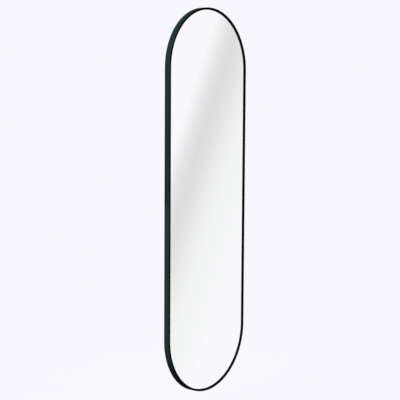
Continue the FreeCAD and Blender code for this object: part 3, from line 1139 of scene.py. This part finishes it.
@dataclass
class TurnLatches:
    """Turn buttons that hold the board in the frame, with their screws and washers."""

    outline: Outline
    joints: Sequence[Mapping[str, Any]]
    front: float = 17.0 * MM
    back: float = 19.0 * MM
    arris: float = 0.15 * MM
    rounding: float = 0.4 * MM
    heel_radius: float = 4.2 * MM
    heel_steps: int = 22
    nose_radius: float = 3.2 * MM
    nose_steps: int = 14
    reach: float = 13.0 * MM
    bore_radius: float = 2.06 * MM
    grip_half: Flat = (0.7 * MM, 2.2 * MM)
    grip_height: float = 1.2 * MM
    grip_root: float = 0.1 * MM  # how far the grip goes into the plate
    grip_corner: float = 0.3 * MM
    grip_top_corner: float = 0.1 * MM
    screw_seat: float = 19.1 * MM
    screw_tip: float = 10.2 * MM
    washer_front: float = 16.4 * MM
    washer_back: float = 16.9 * MM
    washer_radius: float = 4.4 * MM
    pivots: dict[str, Vector] = field(init=False)  # a point on the axis of each latch's body

    def __post_init__(self) -> None:
        """Finds each latch's pivot."""
        self.pivots = {joint["child"]: Vector(joint["pos_m"]) for joint in self.joints
                       if joint["type"] == "hinge"}

    def plan(self, taken_in: float) -> list[Flat]:
        """Draws the tapered outline about the pivot, with the nose along +X.

        Args:
            taken_in: distance in from the plate's edge.

        Returns:
            The points, once round.
        """
        lean = math.acos((self.heel_radius - self.nose_radius) / self.reach)
        points = []
        for middle, radius, start, span, steps in (
                (self.reach, self.nose_radius, -lean, 2 * lean, self.nose_steps),
                (0.0, self.heel_radius, lean, 2 * math.pi - 2 * lean, self.heel_steps)):
            size = radius - taken_in
            angles = [start + span * step / steps for step in range(steps + 1)]
            points += [(middle + size * math.cos(angle), size * math.sin(angle)) for angle in angles]
        return points

    def plate(self) -> bpy.types.Mesh:
        """Makes the latch plate about the pivot, with its bore, before it is turned.

        Returns:
            The mesh.
        """
        front, back, soft, arris = self.front, self.back, self.rounding, self.arris
        slant = SLANT * soft
        levels = ((arris, front), (0.0, front + arris),
                  (0.0, back - soft), (slant, back - slant), (soft, back))
        lines = [(self.plan(taken), depth) for taken, depth in levels]
        bore = [tuple(Vector(point).normalized() * self.bore_radius) for point in self.plan(0.0)]
        lines += [(bore, back), (bore, front)]
        rings = [[self.outline.at(x, depth, z) for x, z in line] for line, depth in lines]
        return loft("latch_plate", rings, ring_shaped=True)

    def grip(self) -> bpy.types.Mesh:
        """Makes the rounded finger grip across the nose.

        Returns:
            The mesh.
        """
        soft, slant = self.rounding, SLANT * self.rounding
        base, top = self.back - self.grip_root, self.back + self.grip_height
        rings = []
        for taken, depth in ((0.0, base), (0.0, top - soft), (slant, top - slant), (soft, top)):
            half = tuple(side - taken for side in self.grip_half)
            corner = self.grip_corner if taken < soft else self.grip_top_corner
            flat = rounded((self.reach, 0.0), half, corner, steps=3)
            rings.append([self.outline.at(x, depth, z) for x, z in flat])
        return loft("latch_grip", rings)

    def latch(self, body: str, pivot: Vector) -> None:
        """Makes and dresses one turn button in its place.

        Args:
            body: the latch's body and node.
            pivot: a point on its axis.
        """
        low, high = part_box(body)
        nose = (low + high) / 2 - pivot
        mesh = joined(f"{body}_plate", [self.plate(), self.grip()])
        turn = Matrix.Rotation(math.atan2(-nose.z, nose.x), 4, "Y")
        mesh.transform(Matrix.Translation((pivot.x, 0.0, pivot.z)) @ turn)
        hand_over(add_object(mesh, ZINC), body, body)

    def seats(self, name: str, depth: float) -> bpy.types.Mesh:
        """Mesh of one vertex on each pivot."""
        return wire(name, [self.outline.at(pivot.x, depth, pivot.z) for pivot in self.pivots.values()])

    def screws(self) -> None:
        """Makes and dresses all the pivot screws."""
        fixing = add_object(PanHeadScrew(self.screw_seat - self.screw_tip).mesh("pivot_fixing"))
        seats = self.seats("latch_screws", self.screw_seat)
        hand_over(FIXING_AT_MARKS.make(seats, ZINC, {"Fixing": fixing}), "pivot_screws")
        drop_object(fixing)

    def washers(self) -> None:
        """Makes and dresses all the washers under the turn buttons."""
        front, back = self.washer_front, self.washer_back
        piece = WASHER_AT_MARKS.make(self.seats("latch_washers", (front + back) / 2), NYLON, {
            "Outer Radius": self.washer_radius, "Bore Radius": self.bore_radius, "Thickness": back - front,
        })
        hand_over(piece, "pivot_washers")

    def build(self) -> None:
        """Makes and dresses the turn buttons, screws and washers."""
        for body, pivot in self.pivots.items():
            self.latch(body, pivot)
        self.screws()
        self.washers()


@dataclass
class RailScrews:
    """Screws that fix the hanger rail to the board."""

    count: int = 6
    head_height: float = 2.4 * MM

    def build(self) -> None:
        """Makes and dresses the row of screws."""
        low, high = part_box("hanger_rail_screws")
        head, seat = (high.z - low.z) / 2, high.y - self.head_height
        step = (high.x - low.x - 2 * head) / (self.count - 1)
        screw = PanHeadScrew(seat - low.y, head_radius=head, head_height=self.head_height)
        row = EVEN_ROW.make(screw.mesh("rail_fixings"), ZINC, {
            "Count": self.count, "First": (low.x + head, seat, (low.z + high.z) / 2),
            "Step": (step, 0.0, 0.0),
        })
        hand_over(row, "hanger_rail_screws")


@dataclass
class WallBumpers:
    """Tapered rubber bumpers between the board's lower end and the wall."""

    flange: float = 1.4 * MM
    arris: float = 0.3 * MM
    taper: float = 0.6 * MM
    rounding: float = 1.5 * MM
    dish_radius: float = 3.4 * MM
    dish_depth: float = 0.5 * MM

    def build(self) -> None:
        """Makes and dresses both bumpers."""
        soft, arris, dish = self.rounding, self.arris, self.dish_depth
        for node in ("bumper_left", "bumper_right"):
            low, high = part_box(node)
            radius, height = (high.x - low.x) / 2, high.y - low.y
            neck = radius - self.taper
            mesh = turned(f"{node}_foot", [
                (radius - arris, 0.0), (radius, arris),
                (radius, self.flange), (neck, self.flange + self.taper),
                *quarter((neck - soft, height - soft), soft, 0.0, steps=6),
                (self.dish_radius, height), (self.dish_radius - dish, height - dish)])
            mesh.transform(Matrix.Translation(((low.x + high.x) / 2, low.y, (low.z + high.z) / 2)))
            hand_over(add_object(mesh, RUBBER), node)


@dataclass
class CarriedNodes:
    """Nodes of the model whose shapes stay, with better finishes."""

    finishes: Mapping[str, Finish] = field(default_factory=lambda: {
        "wall_rail": RAIL_METAL,
        "hanger_rail": RAIL_METAL,
        "splice_bar_left": ZINC,
        "splice_bar_right": ZINC,
        "splice_set_screws": DARK_STEEL,
        "pivot_nuts": ZINC,
        "safety_film": FILM,
    })

    def dress(self, nodes: Mapping[str, bpy.types.Object]) -> None:
        """Gives each node its finish.

        Args:
            nodes: the model's objects by name.
        """
        for name, finish in self.finishes.items():
            for slot in nodes[name].material_slots:
                slot.material = finish.material()
            LOG.info("%s keeps its shape, %s", name, finish.name)


@dataclass(frozen=True)
class Lamp:
    """Soft square lamp that faces the mirror's middle and that reflections don't show."""

    name: str
    place: Triple  # from the mirror's middle
    power: float  # in watts
    side: float = 2.0

    def build(self, middle: Vector) -> None:
        """Sets up the lamp.

        Args:
            middle: the mirror's middle.
        """
        data = bpy.data.lights.new(self.name, "AREA")
        data.shape, data.size, data.energy = "SQUARE", self.side, self.power
        lamp = add_object(data)
        reach = Vector(self.place)
        turn = reach.to_track_quat("Z", "Y").to_matrix().to_4x4()
        lamp.matrix_world = Matrix.Translation(middle + reach) @ turn
        lamp.visible_glossy = False


@dataclass
class Studio:
    """Camera, soft lamps, pale surroundings and floor."""

    outline: Outline
    stand_off: Triple = (-3.4426, -2.7883, 0.4424)  # camera from the middle of the frame's rear
    yaw: float = math.radians(50.790)
    pitch: float = math.radians(-5.613)
    roll: float = math.radians(0.346)
    lens: float = 95.90
    sensor: float = 36.0
    backdrop: Colour = (0.939, 0.930, 0.982)
    light_above: Colour = (0.27, 0.278, 0.287)
    light_below: Colour = (0.03, 0.03, 0.033)
    light_heights: Flat = (-0.3, 0.8)  # sines of the heights between which the one turns into the other
    lamps: Sequence[Lamp] = (
        Lamp("key_left", (-4.3, 0.9, 3.1), 505.0),
        Lamp("fill_right", (2.6, 1.9, 1.0), 110.0),
    )
    sheen_slope: float = 0.327  # tilt of the soft grey band that the glass shows
    sheen_period: float = 0.2094  # angle from one band to the next
    sheen_start: float = -0.1024  # angle at which a period starts
    sheen: Sequence[tuple[float, Colour]] = (
        (0.0, (0.983, 0.975, 0.999)), (0.303, (0.983, 0.975, 0.999)), (0.366, (0.809, 0.809, 0.793)),
        (0.409, (0.751, 0.751, 0.736)), (0.435, (0.764, 0.764, 0.749)), (0.533, (0.894, 0.904, 0.882)),
        (0.567, (0.922, 0.938, 0.912)), (0.643, (0.945, 0.955, 0.936)), (0.712, (0.983, 0.975, 0.999)),
    )
    floor_drop: float = 0.35  # floor below the mirror's lowest point
    floor_size: float = 60.0
    floor_matt: Colour = (0.62, 0.615, 0.645)
    floor_bounce: Colour = (0.03, 0.03, 0.032)  # the floor's colour in the light that it throws back
    glow_near: float = 0.86  # share of the backdrop's colour near the mirror; the rest takes shadow
    glow_reach: Flat = (1.8, 3.2)  # distances between which the share grows to 1

    def axes(self) -> tuple[Vector, Vector, Vector]:
        """Works out the photograph's viewing directions.

        Returns:
            Right, up and forward.
        """
        level = Vector((math.sin(self.yaw), math.cos(self.yaw), 0.0))
        right = Vector((math.cos(self.yaw), -math.sin(self.yaw), 0.0))
        up = Vector((0.0, 0.0, 1.0))
        forward = level * math.cos(self.pitch) + up * math.sin(self.pitch)
        tilted = up * math.cos(self.pitch) - level * math.sin(self.pitch)
        return (right * math.cos(self.roll) + tilted * math.sin(self.roll),
                tilted * math.cos(self.roll) - right * math.sin(self.roll), forward)

    def camera(self) -> None:
        """Sets up the camera at the photograph's viewing angle."""
        right, up, forward = self.axes()
        data = bpy.data.cameras.new("studio_camera")
        data.lens, data.sensor_width = self.lens, self.sensor
        eye = add_object(data)
        middle = Vector((0.0, self.outline.rear, self.outline.middle))
        turn = Matrix((right, up, -forward)).transposed().to_4x4()
        eye.matrix_world = Matrix.Translation(middle + Vector(self.stand_off)) @ turn
        bpy.context.scene.camera = eye

    def surroundings(self) -> None:
        """Sets up the pale surroundings, with a soft grey band for what is reflected."""
        world = bpy.data.worlds.new("studio")
        world.use_nodes = True
        bpy.context.scene.world = world
        graph = Graph(world.node_tree)
        right, up, _ = self.axes()
        axis = (right - self.sheen_slope * up).normalized()
        axis.y = -axis.y
        heading = graph.node("ShaderNodeTexCoord", output="Generated")
        lean = graph.vector_math("DOT_PRODUCT", heading, axis, output="Value")
        phase = ((lean.math("ARCSINE") - self.sheen_start) / self.sheen_period).math("FRACT")
        band = graph.node("ShaderNodeValToRGB", {"stops": self.sheen}, {"Fac": phase}, "Color")
        height = graph.smooth(graph.apart(heading, "Z"), *self.light_heights)
        ambient = graph.mix(height, self.light_below, self.light_above)
        camera, glossy, through, bounces = (graph.node("ShaderNodeLightPath", output=name) for name in (
            "Is Camera Ray", "Is Glossy Ray", "Is Transmission Ray", "Diffuse Depth"))
        direct = graph.mix(camera.math("MAXIMUM", through), ambient, self.backdrop)
        colour = graph.mix(glossy * (bounces < 1), direct, band)
        graph.feed(world.node_tree.nodes["Background"].inputs["Color"], colour)

    def floor(self) -> None:
        """Lays the pale floor, which looks like the backdrop and keeps a soft shadow."""
        material = bpy.data.materials.new("pale_floor")
        material.use_nodes = True
        nodes = material.node_tree.nodes
        nodes.remove(nodes["Principled BSDF"])
        graph = Graph(material.node_tree)
        seen = graph.node("ShaderNodeLightPath", output="Is Camera Ray")
        colour = graph.mix(seen, self.floor_bounce, self.floor_matt)
        matt = graph.node("ShaderNodeBsdfDiffuse", inputs={"Color": colour})
        glow = graph.node("ShaderNodeEmission", inputs={"Color": self.backdrop})
        away = graph.vector_math("LENGTH", graph.place(), output="Value")
        share = seen * (self.glow_near + (1 - self.glow_near) * graph.smooth(away, *self.glow_reach))
        mixed = graph.node("ShaderNodeMixShader", inputs={0: share, 1: matt, 2: glow})
        graph.feed(nodes["Material Output"].inputs["Surface"], mixed)
        half, height = self.floor_size / 2, self.outline.bottom - self.floor_drop
        corners = [(x * half, y * half, height) for x, y in ((-1, -1), (1, -1), (1, 1), (-1, 1))]
        mesh = bpy.data.meshes.new("studio_floor")
        mesh.from_pydata(corners, [], [(0, 1, 2, 3)])
        mesh.materials.append(material)
        floor = add_object(mesh)
        floor.visible_glossy = False

    def build(self) -> None:
        """Sets up the whole studio."""
        bpy.context.scene.view_settings.view_transform = "Standard"
        self.camera()
        self.surroundings()
        for lamp in self.lamps:
            lamp.build(Vector((0.0, 0.0, self.outline.middle)))
        self.floor()


def main() -> None:
    """Builds every sub-assembly in order."""
    logging.basicConfig(level=logging.INFO, format="%(name)s: %(message)s")
    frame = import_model()
    outline = Outline.from_model()
    Studio(outline).build()
    FrameHalves(outline).build()
    GlassPack(outline).build()
    BackBoard(outline).build()
    TurnLatches(outline, frame["joints"]).build()
    RailScrews().build()
    WallBumpers().build()
    CarriedNodes().dress(frame["nodes"])


if __name__ == "__main__":
    main()
